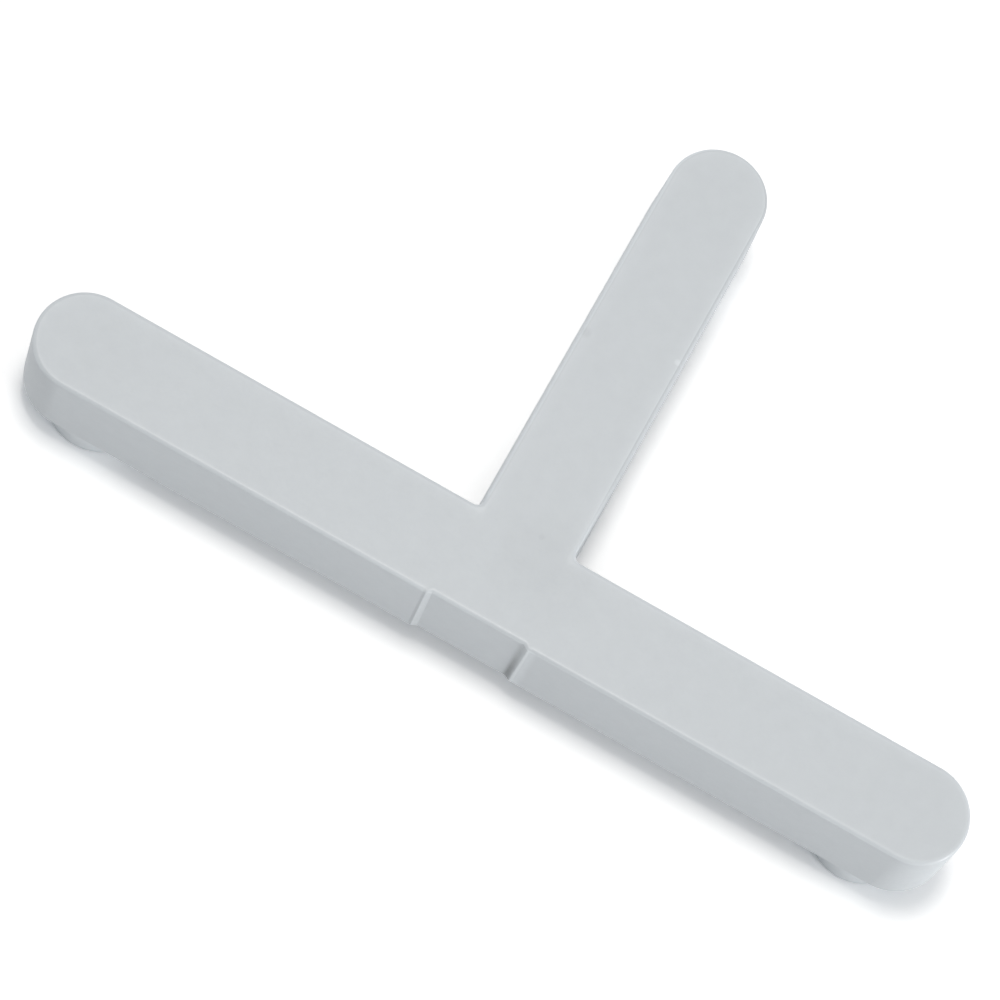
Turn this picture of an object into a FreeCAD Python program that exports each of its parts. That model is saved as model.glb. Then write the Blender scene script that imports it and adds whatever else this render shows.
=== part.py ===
# T spacer for tile joints: a moulded bar with a stem on its middle, standing on three round feet
import math
import os

import FreeCAD
import Part

# driving dimensions, millimetres and degrees
joint_width = 3.0
bar_length = 28.0
stem_reach = 14.0
body_height = 2.85
wall_draft_deg = 2.0
top_edge_radius = 0.12
inner_corner_radius = 0.1
recess_width = 3.0
recess_depth = 0.08
recess_side_run = 0.15
foot_height = 1.15
foot_setback = 0.04
foot_inset = 2.2
foot_edge_radius = 0.08

# named clearances of the cutting and joining bodies, and the tolerance of a match in height
cut_margin = 1.0
join_overlap = 0.2
match_tolerance = 1e-6

# places that follow from the dimensions
half_width = joint_width / 2
foot_radius = half_width - foot_setback
draft_slope = math.tan(math.radians(wall_draft_deg))
top_inset = body_height * draft_slope
body_bottom = foot_height
body_top = foot_height + body_height
arm_straight = bar_length / 2 - half_width
stem_straight = stem_reach - half_width
bar_line_y = -(stem_reach - half_width) / 2
stem_end_y = bar_line_y + stem_straight
stem_foot_y = bar_line_y + stem_reach - foot_inset
bar_foot_x = bar_length / 2 - foot_inset
up = FreeCAD.Vector(0, 0, 1)


def drafted_prism(start, along, across, front_inset):
    """Straight piece of an arm, its side walls leaning inwards towards the top."""
    low = half_width - front_inset
    high = low - top_inset
    base = start + up * body_bottom
    crest = start + up * body_top
    corners = [
        base - across * low,
        base + across * half_width,
        crest + across * (half_width - top_inset),
        crest - across * high,
    ]
    section = Part.Face(Part.makePolygon(corners + corners[:1]))
    return section.extrude(along)


def rounded_end(x, y):
    """Round end of an arm, leaning inwards like the walls that run into it."""
    foot_of_end = FreeCAD.Vector(x, y, body_bottom)
    return Part.makeCone(half_width, half_width - top_inset, body_height, foot_of_end, up)


def foot(x, y):
    """Round pad under an arm's end, with a softened lower edge."""
    tall = foot_height + join_overlap
    taper = tall * draft_slope
    pad = Part.makeCone(foot_radius - taper, foot_radius, tall, FreeCAD.Vector(x, y, 0), up)
    low_edges = [edge for edge in pad.Edges if edge.BoundBox.ZMax < match_tolerance]
    return pad.makeFillet(foot_edge_radius, low_edges)


def edges_at_top(shape):
    """Edges that lie in the plane of the top face."""
    return [edge for edge in shape.Edges if edge.BoundBox.ZMin > body_top - match_tolerance]


def inner_corner_edges(shape):
    """The two upright edges where the stem's sides meet the bar."""
    found = []
    for edge in shape.Edges:
        middle = edge.BoundBox.Center
        rises = edge.BoundBox.ZLength > body_height / 2
        at_bar = abs(middle.y - (bar_line_y + half_width - top_inset / 2)) < top_inset
        at_stem = abs(abs(middle.x) - (half_width - top_inset / 2)) < top_inset
        if rises and at_bar and at_stem:
            found.append(edge)
    return found


def softened_prism(start, along, across, front_inset):
    """The same piece of an arm with the top edge of its front wall rounded."""
    prism = drafted_prism(start, along, across, front_inset)
    front_edges = []
    for edge in edges_at_top(prism):
        if (edge.BoundBox.Center - start).dot(across) < -join_overlap:
            front_edges.append(edge)
    return prism.makeFillet(top_edge_radius, front_edges)


def behind_recess_floor():
    """Body whose front wall is the floor of the recess, set back from the bar's front."""
    start = FreeCAD.Vector(-recess_width / 2, bar_line_y, 0)
    along = FreeCAD.Vector(recess_width, 0, 0)
    return softened_prism(start, along, FreeCAD.Vector(0, 1, 0), recess_depth)


def behind_recess_side(side):
    """Body whose front wall is one sloping side of the recess: left is -1, right is 1."""
    corner = FreeCAD.Vector(side * recess_width / 2, bar_line_y - half_width, 0)
    into = FreeCAD.Vector(side * recess_depth, recess_side_run, 0).normalize()
    along = FreeCAD.Vector(-into.y, into.x, 0) * (2 * cut_margin)
    return softened_prism(corner + into * half_width - along / 2, along, into, 0)


def recess_cutter():
    """Space in front of the floor and the sloping sides of the shallow full-height recess."""
    block_width = recess_width + 2 * top_edge_radius
    block = Part.makeBox(
        block_width,
        half_width + cut_margin,
        body_height + 2 * cut_margin,
        FreeCAD.Vector(-block_width / 2, bar_line_y - half_width - cut_margin, body_bottom - cut_margin),
    )
    kept = [behind_recess_floor(), behind_recess_side(-1), behind_recess_side(1)]
    return block.cut(kept).common(front_zone())


def front_zone():
    """Zone that the recess may touch: in front of the bar's middle and no higher than its top."""
    return Part.makeBox(
        bar_length,
        half_width + cut_margin - join_overlap,
        body_height + cut_margin,
        FreeCAD.Vector(-bar_length / 2, bar_line_y - half_width - cut_margin, body_bottom - cut_margin),
    )


# body: bar and stem joined, inner corners and top outline softened
bar = drafted_prism(
    FreeCAD.Vector(-arm_straight, bar_line_y, 0),
    FreeCAD.Vector(2 * arm_straight, 0, 0),
    FreeCAD.Vector(0, 1, 0),
    0,
)
stem = drafted_prism(
    FreeCAD.Vector(0, bar_line_y, 0),
    FreeCAD.Vector(0, stem_straight, 0),
    FreeCAD.Vector(1, 0, 0),
    0,
)
ends = [rounded_end(-arm_straight, bar_line_y), rounded_end(arm_straight, bar_line_y), rounded_end(0, stem_end_y)]
body = bar.multiFuse([stem] + ends).removeSplitter()
body = body.makeFillet(inner_corner_radius, inner_corner_edges(body))
body = body.makeFillet(top_edge_radius, edges_at_top(body))

# recess in the bar's front, opposite the stem and as wide
body = body.cut(recess_cutter())

# feet under the three ends
feet = [foot(-bar_foot_x, bar_line_y), foot(bar_foot_x, bar_line_y), foot(0, stem_foot_y)]
spacer = body.multiFuse(feet).removeSplitter()

os.makedirs("parts", exist_ok=True)
spacer.Solids[0].exportStep("parts/spacer.step")
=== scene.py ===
"""Looks of a moulded T spacer for tile joints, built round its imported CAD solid."""

import math
from types import SimpleNamespace

import bmesh
import bpy
from mathutils import Matrix, Vector


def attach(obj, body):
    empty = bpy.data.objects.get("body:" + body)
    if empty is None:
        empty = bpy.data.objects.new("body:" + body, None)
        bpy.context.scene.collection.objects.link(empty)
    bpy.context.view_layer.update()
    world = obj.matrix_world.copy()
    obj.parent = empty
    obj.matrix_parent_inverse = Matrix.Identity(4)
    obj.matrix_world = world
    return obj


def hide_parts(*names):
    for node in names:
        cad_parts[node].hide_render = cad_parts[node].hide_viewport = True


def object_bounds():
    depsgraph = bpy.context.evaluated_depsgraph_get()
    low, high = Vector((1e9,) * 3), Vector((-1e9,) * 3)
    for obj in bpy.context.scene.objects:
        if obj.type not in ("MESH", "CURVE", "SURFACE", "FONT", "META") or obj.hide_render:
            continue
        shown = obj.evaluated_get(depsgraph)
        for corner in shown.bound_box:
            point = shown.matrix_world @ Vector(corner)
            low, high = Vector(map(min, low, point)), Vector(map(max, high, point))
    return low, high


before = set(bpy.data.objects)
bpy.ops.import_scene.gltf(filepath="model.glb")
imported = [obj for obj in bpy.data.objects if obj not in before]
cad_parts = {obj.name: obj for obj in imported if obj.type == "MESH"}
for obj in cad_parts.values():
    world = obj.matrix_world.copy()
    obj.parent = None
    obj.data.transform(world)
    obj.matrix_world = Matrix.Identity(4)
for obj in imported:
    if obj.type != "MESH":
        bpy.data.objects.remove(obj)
cad_low, cad_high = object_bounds()

MM = 0.001

# sizes of the moulding, as in the CAD source
JOINT_WIDTH = 3.0 * MM
BODY_BOTTOM = 1.15 * MM
WALL_DRAFT = math.radians(2.0)
RIM_RADIUS = 0.12 * MM
INNER_CORNER = 0.1 * MM
RECESS_WIDTH = 3.0 * MM
RECESS_DEPTH = 0.08 * MM
RECESS_RUN = 0.15 * MM
FOOT_SETBACK = 0.04 * MM
FOOT_INSET = 2.2 * MM
FOOT_EDGE = 0.08 * MM

# places that follow from them and from the solid's own box
ARM_END = min(-cad_low[0], cad_high[0])
FRONT_Y = cad_low[1]
STEM_END = cad_high[1]
BODY_TOP = cad_high[2]
HALF = JOINT_WIDTH / 2
BAR_Y = FRONT_Y + HALF
BACK_Y = FRONT_Y + JOINT_WIDTH
RECESS_HALF = RECESS_WIDTH / 2
RECESS_FLOOR_HALF = RECESS_HALF - RECESS_RUN
FOOT_RADIUS = HALF - FOOT_SETBACK
FEET = (
    (-ARM_END + FOOT_INSET, BAR_Y),
    (ARM_END - FOOT_INSET, BAR_Y),
    (0.0, STEM_END - FOOT_INSET),
)

# steps and small softenings of the mesh
END_STEPS = 21
CORNER_STEPS = 6
RIM_STEPS = 6
LOWER_EDGE = 0.03 * MM
LOWER_STEPS = 5
FOOT_STEPS = 72
FOOT_EDGE_STEPS = 6
FOOT_OVERLAP = 0.3 * MM
NEAR = 0.001 * MM
FACES_DOWN = -0.9
FLAT_ANGLE = math.radians(0.5)
SMOOTH_ANGLE = math.radians(20)


def start_edit(piece):
    """Make the piece the only selected one and open it in edit mode."""
    bpy.ops.object.select_all(action="DESELECT")
    piece.select_set(True)
    bpy.context.view_layer.objects.active = piece
    bpy.ops.object.mode_set(mode="EDIT")


def end_edit():
    """Leave edit mode."""
    bpy.ops.object.mode_set(mode="OBJECT")


def choose(piece, kind, wanted):
    """Select the vertices, edges or faces that pass the test, and nothing else."""
    bpy.ops.mesh.select_mode(type=kind)
    bpy.ops.mesh.select_all(action="DESELECT")
    mesh = bmesh.from_edit_mesh(piece.data)
    items = {"VERT": mesh.verts, "EDGE": mesh.edges, "FACE": mesh.faces}[kind]
    for item in items:
        item.select_set(wanted(item))
    mesh.select_flush_mode()
    bmesh.update_edit_mesh(piece.data)


def middle(edge):
    """Middle point of an edge."""
    return (edge.verts[0].co + edge.verts[1].co) / 2


def cut_at(x):
    """Cut the whole flat piece along the line at that x."""
    bpy.ops.mesh.select_all(action="SELECT")
    bpy.ops.mesh.bisect(plane_co=(x, 0, 0), plane_no=(1, 0, 0), threshold=NEAR)


def round_corners(piece, wanted, radius, steps):
    """Round the chosen corners of a flat outline."""
    choose(piece, "VERT", wanted)
    bpy.ops.mesh.bevel(
        offset=radius,
        offset_type="OFFSET",
        segments=steps,
        profile=0.5,
        affect="VERTICES",
        clamp_overlap=False,
    )


def roll_over(steps, radius, lean):
    """Inset and rise of each step of a rounded edge that starts on a wall leaning by that angle."""
    angles = [lean + (math.pi / 2 - lean) * k / steps for k in range(steps + 1)]
    for low, high in zip(angles[:-1], angles[1:]):
        yield radius * (math.cos(low) - math.cos(high)), radius * (math.sin(high) - math.sin(low))


def make_plan():
    """The T's outline as one flat face at the foot of its walls."""
    bpy.ops.object.select_all(action="DESELECT")
    bpy.ops.mesh.primitive_plane_add(size=1, location=(0, BAR_Y, BODY_BOTTOM + LOWER_EDGE))
    plan = bpy.context.object
    plan.name = plan.data.name = "moulded_t"
    start_edit(plan)
    bpy.ops.transform.resize(value=(2 * ARM_END, JOINT_WIDTH, 1))
    end_edit()
    bpy.ops.object.transform_apply(location=True, rotation=True, scale=True)

    # the stem, drawn out of the bar's back edge
    start_edit(plan)
    for side in (-1, 1):
        cut_at(side * HALF)
    choose(plan, "EDGE", lambda e: middle(e).y > BACK_Y - NEAR and abs(middle(e).x) < NEAR)
    bpy.ops.mesh.extrude_region_move(TRANSFORM_OT_translate={"value": (0, STEM_END - BACK_Y, 0)})

    # the recess opposite the stem, its floor pushed in between two sloping sides
    for place in (-RECESS_HALF, -RECESS_FLOOR_HALF, RECESS_FLOOR_HALF, RECESS_HALF):
        cut_at(place)
    choose(plan, "VERT", lambda v: v.co.y < FRONT_Y + NEAR and abs(v.co.x) < RECESS_FLOOR_HALF + NEAR)
    bpy.ops.transform.translate(value=(0, RECESS_DEPTH, 0))
    bpy.ops.mesh.select_all(action="SELECT")
    bpy.ops.mesh.dissolve_limited(angle_limit=FLAT_ANGLE)

    # round ends and inner corners
    round_corners(
        plan,
        lambda v: abs(v.co.x) > ARM_END - NEAR or v.co.y > STEM_END - NEAR,
        HALF,
        END_STEPS,
    )
    round_corners(
        plan,
        lambda v: abs(v.co.y - BACK_Y) < NEAR and abs(abs(v.co.x) - HALF) < NEAR,
        INNER_CORNER,
        CORNER_STEPS,
    )
    bpy.ops.mesh.select_all(action="SELECT")
    bpy.ops.mesh.remove_doubles(threshold=NEAR)
    end_edit()
    return plan


def raise_walls(body):
    """Walls that lean inwards, a rounded rim round the top face and a softened lower edge."""
    start_edit(body)
    bpy.ops.mesh.select_mode(type="FACE")
    bpy.ops.mesh.select_all(action="SELECT")
    lean_at_top = (BODY_TOP - BODY_BOTTOM) * math.tan(WALL_DRAFT)
    rim_reach = RIM_RADIUS * math.tan((math.pi / 2 - WALL_DRAFT) / 2)
    rim_start = lean_at_top + rim_reach - RIM_RADIUS * math.cos(WALL_DRAFT)
    rim_low = BODY_TOP - RIM_RADIUS + RIM_RADIUS * math.sin(WALL_DRAFT)
    foot_of_wall = BODY_BOTTOM + LOWER_EDGE
    bpy.ops.mesh.inset(thickness=rim_start, depth=rim_low - foot_of_wall, use_even_offset=True)
    for inwards, upwards in roll_over(RIM_STEPS, RIM_RADIUS, WALL_DRAFT):
        bpy.ops.mesh.inset(thickness=inwards, depth=upwards, use_even_offset=True)

    # the underside, closed and then drawn down round its edge
    choose(body, "EDGE", lambda e: e.is_boundary)
    bpy.ops.mesh.edge_face_add()
    bpy.ops.mesh.select_mode(type="FACE")
    bpy.ops.mesh.select_all(action="SELECT")
    bpy.ops.mesh.normals_make_consistent(inside=False)
    choose(body, "FACE", lambda f: f.normal.z < FACES_DOWN)
    for inwards, downwards in roll_over(LOWER_STEPS, LOWER_EDGE, 0.0):
        bpy.ops.mesh.inset(thickness=inwards, depth=downwards, use_even_offset=True)
    end_edit()


def make_foot():
    """One round foot, tapered for the mould, its lower edge rounded."""
    x, y = FEET[0]
    tall = BODY_BOTTOM + FOOT_OVERLAP
    bpy.ops.object.select_all(action="DESELECT")
    bpy.ops.mesh.primitive_cylinder_add(
        vertices=FOOT_STEPS,
        radius=FOOT_RADIUS,
        depth=tall,
        location=(x, y, tall / 2),
    )
    pad = bpy.context.object
    bpy.ops.object.transform_apply(location=True, rotation=True, scale=True)
    start_edit(pad)
    choose(pad, "VERT", lambda v: v.co.z < NEAR)
    narrow = 1 - tall * math.tan(WALL_DRAFT) / FOOT_RADIUS
    bpy.ops.transform.resize(value=(narrow, narrow, 1), center_override=(x, y, 0))
    choose(pad, "EDGE", lambda e: max(v.co.z for v in e.verts) < NEAR)
    bpy.ops.mesh.bevel(
        offset=FOOT_EDGE,
        offset_type="OFFSET",
        segments=FOOT_EDGE_STEPS,
        profile=0.5,
        affect="EDGES",
    )
    end_edit()
    return pad


def add_feet(body):
    """Copy the foot under each end and join the copies to the body."""
    first = make_foot()
    feet = [first]
    for x, y in FEET[1:]:
        copy = first.copy()
        copy.data = first.data.copy()
        bpy.context.collection.objects.link(copy)
        copy.location = (x - FEET[0][0], y - FEET[0][1], 0)
        feet.append(copy)
    for pad in feet:
        bpy.ops.object.select_all(action="DESELECT")
        body.select_set(True)
        bpy.context.view_layer.objects.active = body
        joined = body.modifiers.new("foot", "BOOLEAN")
        joined.operation = "UNION"
        joined.solver = "EXACT"
        joined.object = pad
        bpy.ops.object.modifier_apply(modifier=joined.name)
        bpy.data.objects.remove(pad)


def finish_surface(piece):
    """Close the mesh neatly and give the rounded edges smooth shading."""
    start_edit(piece)
    bpy.ops.mesh.select_all(action="SELECT")
    bpy.ops.mesh.remove_doubles(threshold=NEAR / 2)
    bpy.ops.mesh.normals_make_consistent(inside=False)
    end_edit()
    bpy.ops.object.shade_smooth_by_angle(angle=SMOOTH_ANGLE)
    even = piece.modifiers.new("even_shading", "WEIGHTED_NORMAL")
    even.keep_sharp = True
    bpy.ops.object.modifier_apply(modifier=even.name)


def link(tree, source, target):
    """Join an output to an input."""
    tree.links.new(source, target)


def new_node(tree, kind, inputs=(), **values):
    """Add a node, set its options and the values of the named or numbered inputs."""
    node = tree.nodes.new(kind)
    for name, value in values.items():
        setattr(node, name, value)
    for name, value in dict(inputs).items():
        node.inputs[name].default_value = value
    return node


def noise(tree, place, waves):
    """Noise with the given waves a millimetre, detail and roughness."""
    node = new_node(tree, "ShaderNodeTexNoise", waves)
    link(tree, place, node.inputs["Vector"])
    return node.outputs["Fac"]


def ramp(tree, value, low, high, at_low, at_high):
    """Smooth step of the value between two limits."""
    step = new_node(
        tree,
        "ShaderNodeMapRange",
        {"From Min": low, "From Max": high, "To Min": at_low, "To Max": at_high},
        interpolation_type="SMOOTHSTEP",
    )
    link(tree, value, step.inputs["Value"])
    return step.outputs["Result"]


def combine(tree, operation, *values):
    """Running result of one operation over the values, each a socket or a number."""
    result = values[0]
    for value in values[1:]:
        node = new_node(tree, "ShaderNodeMath", operation=operation)
        for socket, part in zip(node.inputs, (result, value)):
            if isinstance(part, (int, float)):
                socket.default_value = part
            else:
                link(tree, part, socket)
        result = node.outputs[0]
    return result


def without_sign(tree, value):
    """The value's size, whatever its sign."""
    return combine(tree, "ABSOLUTE", value, 0.0)


def positive(tree, value):
    """The value where it is above 0, and 0 elsewhere."""
    return combine(tree, "MAXIMUM", value, 0.0)


def band(tree, value, middle_at, half_width):
    """1 where the value is at the middle, falling to 0 on both sides."""
    off = without_sign(tree, combine(tree, "SUBTRACT", value, middle_at))
    return ramp(tree, off, 0.0, half_width, 1.0, 0.0)


def spot(tree, place, centre, inner, outer, level):
    """1 away from a round spot and the given level at its middle."""
    away = new_node(tree, "ShaderNodeVectorMath", operation="DISTANCE")
    link(tree, place, away.inputs[0])
    away.inputs[1].default_value = centre
    return ramp(tree, away.outputs["Value"], inner, outer, level, 1.0)


def length_of(tree, first, second):
    """Length of the line with those two sides."""
    pair = new_node(tree, "ShaderNodeCombineXYZ")
    link(tree, first, pair.inputs["X"])
    link(tree, second, pair.inputs["Y"])
    size = new_node(tree, "ShaderNodeVectorMath", operation="LENGTH")
    link(tree, pair.outputs["Vector"], size.inputs[0])
    return size.outputs["Value"]


# places of the part in millimetres, for its finish
TOP_MM = BODY_TOP / MM
BOTTOM_MM = BODY_BOTTOM / MM
BAR_MM = BAR_Y / MM
BACK_MM = BACK_Y / MM
HALF_MM = HALF / MM
FEET_MM = [(x / MM, y / MM, TOP_MM) for x, y in FEET]

# Steps of the finish: where each starts and ends, and its level at both ends. They go by a place
# in millimetres, by the distance from the outline or by how far the surface faces up, back or right.
# painted highlight along the rim of the top, stronger towards the right end and fainter along the
# stem's left
RIM_BAND = (0.19, 0.3, 1.0, 0.0)
RIM_FACING = (0.15, 0.5, 0.0, 1.0)
RIM_WHERE_STEEP = (0.6, 0.98, 1.5, 1.0)
RIM_ALONG_BAR = (-13.0, 10.0, 0.4, 1.0)
RIM_LIGHTER = (0.0, 2.0, 1.0, 1.09)
STEM_LEFT_RIM = (-1.2, -0.9, 1.0, 0.0)
STEM_LEFT_DULLER = (-1.8, -1.6, 0.0, 0.5)
# painted light on the rims that face back or left, and in a soft band just inside the outline behind
# the bar's middle line
FACING_BACK = (0.05, 0.5, 0.0, 1.0)
FACING_LEFT = (-0.5, -0.05, 1.0, 0.0)
FAR_RIM_LIGHTER = 0.115
SOFT_EDGE_LIGHTER = (0.2, 0.6, 0.028, 0.0)
BEHIND_BAR_LINE = (BAR_MM - 0.8, BAR_MM + 0.8, 0.0, 1.0)
LYING_FLAT = (0.9, 0.99, 0.0, 1.0)
# painted light: the whole part a little lighter towards the bar's right end and towards the stem's
# end
WHOLE_ALONG_BAR = (-14.0, 14.0, 0.996, 1.012)
WHOLE_ALONG_STEM = (-6.0, 7.0, 1.0, 1.01)

# walls and feet, both painted lighter
STANDING_UP = (0.3, 0.8, 1.0, 0.0)
WALL_LIGHTER = (BOTTOM_MM, TOP_MM, 0.045, 0.105)
FOOT_LIGHTER = (1.0, BOTTOM_MM, 0.05, 0.0)
PAST_BAR = (BACK_MM, BACK_MM + 0.4, 0.0, 1.0)
WELL_PAST_BAR = (BACK_MM, BACK_MM + 3.0, 0.0, 1.0)
BY_THE_STEM = (1.6, 1.8, 1.0, 0.0)
OFF_THE_TOP = (0.9, 0.98, 1.0, 0.0)
# painted light on the stem's left wall and painted shade on its right wall
STEM_LEFT_LIGHTER = (-1.2, 0.0, 0.13, 0.0)
STEM_RIGHT_DARKER = (0.0, 1.2, 0.0, -0.17)

# at the recess: painted shade in its right crease and on its left slope, a painted highlight beside
# its right edge, and a seam in relief; middle and half width of each band across the front wall, and
# its level
FRONT_WALL = (BAR_MM - 1.35, BAR_MM - 1.25, 1.0, 0.0)
CREASE = (1.38, 0.17)
# painted shade in the recess's right crease, darker lower down
CREASE_SHADE = (1.3, 3.95, -0.56, -0.12)
# painted highlight on the wall just right of the recess
LIT_EDGE = (1.64, 0.24)
LIT_EDGE_HIGHLIGHT = 0.14
# painted shade on the recess's left slope
LEFT_SLOPE = (-1.43, 0.12)
LEFT_SLOPE_DARKER = -0.09
SEAM = (RECESS_HALF / MM, 0.11)
SEAM_HEIGHT = 0.02 * MM

# spots on the top: middle, inner and outer radius in millimetres, level; the first four are painted
# shade of shallow dips over the junction and the feet, the last three are small marks
SPOTS = (
    ((0.75, BAR_MM + 0.9, TOP_MM), 0.2, 2.1, 0.962),
    (FEET_MM[0], 0.2, 1.5, 0.988),
    (FEET_MM[1], 0.2, 1.5, 0.994),
    (FEET_MM[2], 0.2, 1.5, 0.994),
    ((0.4, BAR_MM + 1.5, TOP_MM), 0.03, 0.13, 0.95),
    ((-1.25, BAR_MM + 7.15, TOP_MM), 0.05, 0.2, 0.93),
    ((1.26, BAR_MM + 7.69, TOP_MM), 0.04, 0.12, 1.12),
)

# the plastic itself
PLASTIC_DARK = (0.592, 0.621, 0.641, 1)
PLASTIC_LIGHT = (0.610, 0.640, 0.660, 1)
MOTTLE_FROM = 0.3
MOTTLE_TO = 0.7
MOTTLE_WAVES = {"Scale": 2.2, "Detail": 4, "Roughness": 0.6}
GRAIN_WAVES = {"Scale": 11, "Detail": 5, "Roughness": 0.6}
GRAIN_MATT = (0.3, 0.7, 0.46, 0.6)
GRAIN_HEIGHT = 0.01 * MM
GRAIN_STRENGTH = 0.2
RIM_SMOOTHER = (0.0, 1.0, 1.0, 0.75)


def from_outline(tree, x, y):
    """Distance inwards from the T's outline, in millimetres, seen from above."""
    across = without_sign(tree, x)
    beyond_arm = positive(tree, combine(tree, "SUBTRACT", across, (ARM_END - HALF) / MM))
    set_back = ramp(tree, across, RECESS_FLOOR_HALF / MM, RECESS_HALF / MM, RECESS_DEPTH / MM, 0.0)
    from_bar_line = without_sign(tree, combine(tree, "SUBTRACT", y, BAR_MM))
    from_bar_line = combine(tree, "ADD", from_bar_line, set_back)
    in_bar = combine(tree, "SUBTRACT", HALF_MM, length_of(tree, beyond_arm, from_bar_line))

    beyond_stem = positive(tree, combine(tree, "SUBTRACT", y, (STEM_END - HALF) / MM))
    before_stem = positive(tree, combine(tree, "SUBTRACT", BACK_MM, y))
    off_stem_line = combine(tree, "ADD", beyond_stem, before_stem)
    in_stem = combine(tree, "SUBTRACT", HALF_MM, length_of(tree, x, off_stem_line))
    return length_of(tree, positive(tree, in_bar), positive(tree, in_stem))


def read_surface(tree):
    """Where a point of the part lies, in millimetres, and which way its surface faces."""
    place = new_node(tree, "ShaderNodeTexCoord")
    in_mm = new_node(tree, "ShaderNodeMapping", {"Scale": (1 / MM, 1 / MM, 1 / MM)})
    link(tree, place.outputs["Object"], in_mm.inputs["Vector"])
    axes = new_node(tree, "ShaderNodeSeparateXYZ")
    link(tree, in_mm.outputs["Vector"], axes.inputs["Vector"])
    facing = new_node(tree, "ShaderNodeSeparateXYZ")
    link(tree, place.outputs["Normal"], facing.inputs["Vector"])
    x, y, z = axes.outputs
    right, back, up = facing.outputs
    return SimpleNamespace(
        place=in_mm.outputs["Vector"],
        x=x,
        y=y,
        z=z,
        right=right,
        back=back,
        up=up,
        inwards=from_outline(tree, x, y),
        upright=ramp(tree, up, *STANDING_UP),
        at_front=ramp(tree, y, *FRONT_WALL),
    )


def rim_highlight_and_polish(tree, at):
    """Mask of the rim for its painted highlight and its smoother gloss: a narrow band along the edge
    of the top, fainter along the stem's left.
    """
    rim = combine(tree, "MULTIPLY", ramp(tree, at.inwards, *RIM_BAND), ramp(tree, at.up, *RIM_FACING))
    stem_left = combine(
        tree,
        "MULTIPLY",
        ramp(tree, at.x, *STEM_LEFT_RIM),
        ramp(tree, at.y, *PAST_BAR),
        ramp(tree, at.x, *STEM_LEFT_DULLER),
    )
    return combine(tree, "MULTIPLY", rim, combine(tree, "SUBTRACT", 1.0, stem_left))


def rim_level(tree, at, rim):
    """Painted highlight on the rim, stronger on its far sides, and painted light on the top just
    inside it towards the back.
    """
    near_rim = combine(
        tree,
        "MULTIPLY",
        rim,
        ramp(tree, at.up, *RIM_WHERE_STEEP),
        ramp(tree, at.x, *RIM_ALONG_BAR),
    )
    far_side = combine(
        tree,
        "MAXIMUM",
        ramp(tree, at.back, *FACING_BACK),
        ramp(tree, at.right, *FACING_LEFT),
    )
    far_rim = combine(
        tree,
        "MULTIPLY",
        ramp(tree, at.inwards, *RIM_BAND),
        far_side,
        FAR_RIM_LIGHTER,
        ramp(tree, at.up, *RIM_FACING),
    )
    soft_edge = combine(
        tree,
        "MULTIPLY",
        ramp(tree, at.inwards, *SOFT_EDGE_LIGHTER),
        ramp(tree, at.y, *BEHIND_BAR_LINE),
        ramp(tree, at.up, *LYING_FLAT),
    )
    return combine(tree, "ADD", ramp(tree, near_rim, *RIM_LIGHTER), far_rim, soft_edge)


def wall_level(tree, at):
    """Painted light: walls a little lighter than the top, more towards their top, and the feet a
    little more.
    """
    lighter = combine(tree, "ADD", ramp(tree, at.z, *WALL_LIGHTER), ramp(tree, at.z, *FOOT_LIGHTER))
    return combine(tree, "ADD", combine(tree, "MULTIPLY", lighter, at.upright), 1.0)


def recess_shade_and_highlight(tree, at):
    """Painted shade in the recess's right crease, darker lower down, a painted highlight on the wall
    right of the recess and painted shade on its left slope.
    """
    crease_shade = combine(tree, "MULTIPLY", band(tree, at.x, *CREASE), ramp(tree, at.z, *CREASE_SHADE))
    edge_highlight = combine(tree, "MULTIPLY", band(tree, at.x, *LIT_EDGE), LIT_EDGE_HIGHLIGHT)
    slope = combine(tree, "MULTIPLY", band(tree, at.x, *LEFT_SLOPE), LEFT_SLOPE_DARKER)
    painted_shading = combine(tree, "ADD", crease_shade, edge_highlight, slope)
    return combine(tree, "MULTIPLY", painted_shading, at.at_front, at.upright)


def stem_walls(tree, at):
    """Painted light on the stem's left wall, a little lighter, and painted shade on its right wall, a
    little darker.
    """
    left = combine(
        tree, "MULTIPLY", ramp(tree, at.x, *STEM_LEFT_LIGHTER), ramp(tree, at.y, *PAST_BAR)
    )
    right = combine(
        tree, "MULTIPLY", ramp(tree, at.x, *STEM_RIGHT_DARKER), ramp(tree, at.y, *WELL_PAST_BAR)
    )
    return combine(
        tree,
        "MULTIPLY",
        combine(tree, "ADD", left, right),
        ramp(tree, without_sign(tree, at.x), *BY_THE_STEM),
        ramp(tree, at.up, *OFF_THE_TOP),
    )


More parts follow.
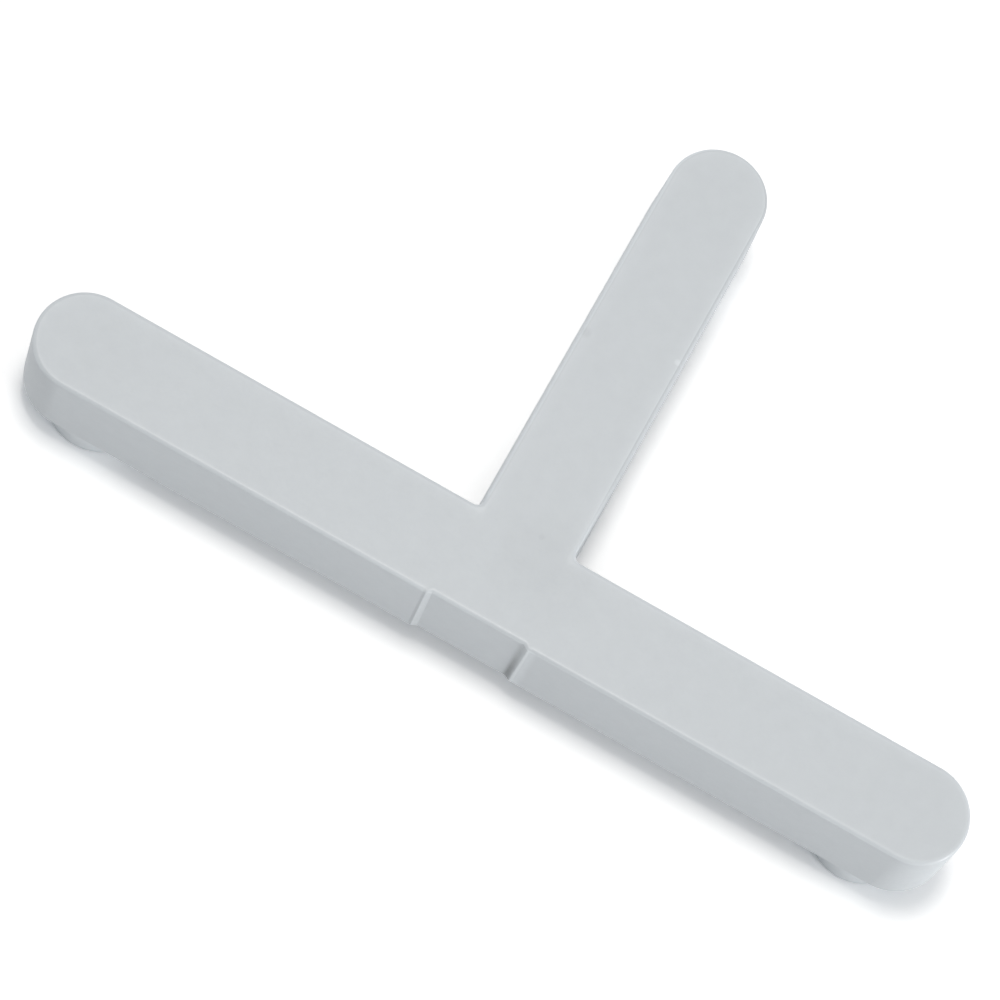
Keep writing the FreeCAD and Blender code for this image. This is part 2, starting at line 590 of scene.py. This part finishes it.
def grey_plastic():
    """Light grey plastic as it leaves the mould: matt, finely grained, its rim rubbed smooth, with
    painted highlights and painted shade in its colour.
    """
    material = bpy.data.materials.new("grey_plastic")
    material.use_nodes = True
    tree = material.node_tree
    shader = tree.nodes["Principled BSDF"]
    at = read_surface(tree)
    rim = rim_highlight_and_polish(tree, at)

    # colour: faint mottling, lighter or darker by the painted highlight on the rim, the painted light
    # and shade on the walls and at the recess, and the spots
    tint = new_node(tree, "ShaderNodeValToRGB")
    dark, light = tint.color_ramp.elements
    dark.position, dark.color = MOTTLE_FROM, PLASTIC_DARK
    light.position, light.color = MOTTLE_TO, PLASTIC_LIGHT
    link(tree, noise(tree, at.place, MOTTLE_WAVES), tint.inputs["Fac"])
    painted_shading = combine(tree, "ADD", recess_shade_and_highlight(tree, at), stem_walls(tree, at), 1.0)
    spots = [spot(tree, at.place, *one) for one in SPOTS]
    level = combine(
        tree,
        "MULTIPLY",
        rim_level(tree, at, rim),
        ramp(tree, at.x, *WHOLE_ALONG_BAR),
        ramp(tree, at.y, *WHOLE_ALONG_STEM),
        wall_level(tree, at),
        painted_shading,
        *spots,
    )
    shaded = new_node(tree, "ShaderNodeVectorMath", operation="SCALE")
    link(tree, tint.outputs["Color"], shaded.inputs[0])
    link(tree, level, shaded.inputs["Scale"])
    link(tree, shaded.outputs["Vector"], shader.inputs["Base Color"])

    # gloss: fine matt grain, smoother on the rim
    grain = noise(tree, at.place, GRAIN_WAVES)
    matt = ramp(tree, grain, *GRAIN_MATT)
    smoother = ramp(tree, rim, *RIM_SMOOTHER)
    link(tree, combine(tree, "MULTIPLY", matt, smoother), shader.inputs["Roughness"])

    # relief: the grain, and a hair of seam down the front wall along both sides of the recess
    seam = combine(tree, "MULTIPLY", band(tree, without_sign(tree, at.x), *SEAM), at.at_front)
    raised = new_node(tree, "ShaderNodeBump", {"Strength": 1.0, "Distance": SEAM_HEIGHT})
    link(tree, seam, raised.inputs["Height"])
    relief = new_node(tree, "ShaderNodeBump", {"Strength": GRAIN_STRENGTH, "Distance": GRAIN_HEIGHT})
    link(tree, grain, relief.inputs["Height"])
    link(tree, raised.outputs["Normal"], relief.inputs["Normal"])
    link(tree, relief.outputs["Normal"], shader.inputs["Normal"])
    return material


# light and floor of the studio
FLOOR_SIZE = 4.0
FLOOR_LEVEL = 0.85
FLOOR_SHOWN = (0.06, 0.5, 1.29, 4.0)
SKY_LEVEL = 0.338
SKY_SHOWN = 1.0
SKY_TINT = (0.95, 1.0, 1.05, 1)
LAMP_TINT = (1.033, 1.0, 0.965)
PLAIN_TINT = (1, 1, 1)
KEY_PLACE, KEY_WATTS, KEY_SIZE = Vector((-0.011, 0.003, 0.15)), 0.064, 0.03
FILL_PLACE, FILL_WATTS, FILL_SIZE = Vector((-0.004, 0.008, 0.15)), 0.055, 0.13
SIDE_PLACE, SIDE_WATTS, SIDE_SIZE = Vector((0.304, -0.081, 0.044)), 0.43, 0.08


def seen_directly(tree):
    """1 for rays that the camera, a reflection or glass sees, 0 for those that carry light."""
    paths = new_node(tree, "ShaderNodeLightPath").outputs
    return combine(
        tree, "MAXIMUM", paths["Is Camera Ray"], paths["Is Glossy Ray"], paths["Is Transmission Ray"]
    )


def make_floor():
    """White table that keeps the shadow and otherwise shows as plain white."""
    bpy.ops.object.select_all(action="DESELECT")
    bpy.ops.mesh.primitive_plane_add(size=FLOOR_SIZE, location=(0, 0, 0))
    floor = bpy.context.object
    floor.name = "floor"
    material = bpy.data.materials.new("white_table")
    material.use_nodes = True
    tree = material.node_tree
    tree.nodes.clear()
    out = new_node(tree, "ShaderNodeOutputMaterial")
    paint = new_node(tree, "ShaderNodeBsdfDiffuse")
    place = new_node(tree, "ShaderNodeTexCoord")
    away = new_node(tree, "ShaderNodeVectorMath", operation="LENGTH")
    link(tree, place.outputs["Object"], away.inputs[0])
    shown = ramp(tree, away.outputs["Value"], *FLOOR_SHOWN)
    level = new_node(tree, "ShaderNodeMapRange", {"To Min": FLOOR_LEVEL})
    link(tree, seen_directly(tree), level.inputs["Value"])
    link(tree, shown, level.inputs["To Max"])
    link(tree, level.outputs["Result"], paint.inputs["Color"])
    link(tree, paint.outputs[0], out.inputs["Surface"])
    floor.data.materials.append(material)


def make_sky():
    """Even light from all round, shown to the camera as plain white."""
    world = bpy.data.worlds.new("studio")
    bpy.context.scene.world = world
    world.use_nodes = True
    tree = world.node_tree
    tree.nodes.clear()
    out = new_node(tree, "ShaderNodeOutputWorld")
    light = new_node(tree, "ShaderNodeBackground", {"Color": SKY_TINT})
    level = new_node(tree, "ShaderNodeMapRange", {"To Min": SKY_LEVEL, "To Max": SKY_SHOWN})
    link(tree, seen_directly(tree), level.inputs["Value"])
    link(tree, level.outputs["Result"], light.inputs["Strength"])
    link(tree, light.outputs[0], out.inputs["Surface"])


def soft_light(name, place, watts, size, tint):
    """Round lamp that faces the middle of the part."""
    bpy.ops.object.light_add(type="AREA", location=place)
    lamp = bpy.context.object
    lamp.name = name
    lamp.data.energy = watts
    lamp.data.color = tint
    lamp.data.shape = "DISK"
    lamp.data.size = size
    lamp.rotation_mode = "QUATERNION"
    lamp.rotation_quaternion = (-place).to_track_quat("-Z", "Y")


# the photograph's view: where it looks, from how far and how it is turned
AIM = Vector((-1.041 * MM, -4.429 * MM, BODY_TOP))
DISTANCE = 110.31 * MM
AZIMUTH = math.radians(1.893)
ELEVATION = math.radians(70.592)
ROLL = math.radians(27.692)
LENS = 151.2
SENSOR = 36
SEEN_FROM = 0.005
SEEN_TO = 10


def make_camera():
    """Camera at the photograph's viewing angle."""
    back = Vector((
        math.sin(AZIMUTH) * math.cos(ELEVATION),
        -math.cos(AZIMUTH) * math.cos(ELEVATION),
        math.sin(ELEVATION),
    ))
    bpy.ops.object.camera_add(location=AIM + back * DISTANCE)
    camera = bpy.context.object
    camera.rotation_mode = "QUATERNION"
    upright = (-back).to_track_quat("-Z", "Y")
    camera.rotation_quaternion = upright @ Matrix.Rotation(ROLL, 3, "Z").to_quaternion()
    camera.data.lens = LENS
    camera.data.sensor_width = SENSOR
    camera.data.clip_start = SEEN_FROM
    camera.data.clip_end = SEEN_TO
    bpy.context.scene.camera = camera


moulded_t = make_plan()
raise_walls(moulded_t)
add_feet(moulded_t)
finish_surface(moulded_t)
moulded_t.data.materials.clear()
moulded_t.data.materials.append(grey_plastic())
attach(moulded_t, "root")
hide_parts("spacer")

make_floor()
make_sky()
soft_light("key", KEY_PLACE, KEY_WATTS, KEY_SIZE, LAMP_TINT)
soft_light("fill", FILL_PLACE, FILL_WATTS, FILL_SIZE, LAMP_TINT)
soft_light("side", SIDE_PLACE, SIDE_WATTS, SIDE_SIZE, PLAIN_TINT)
make_camera()
bpy.context.scene.view_settings.view_transform = "Standard"
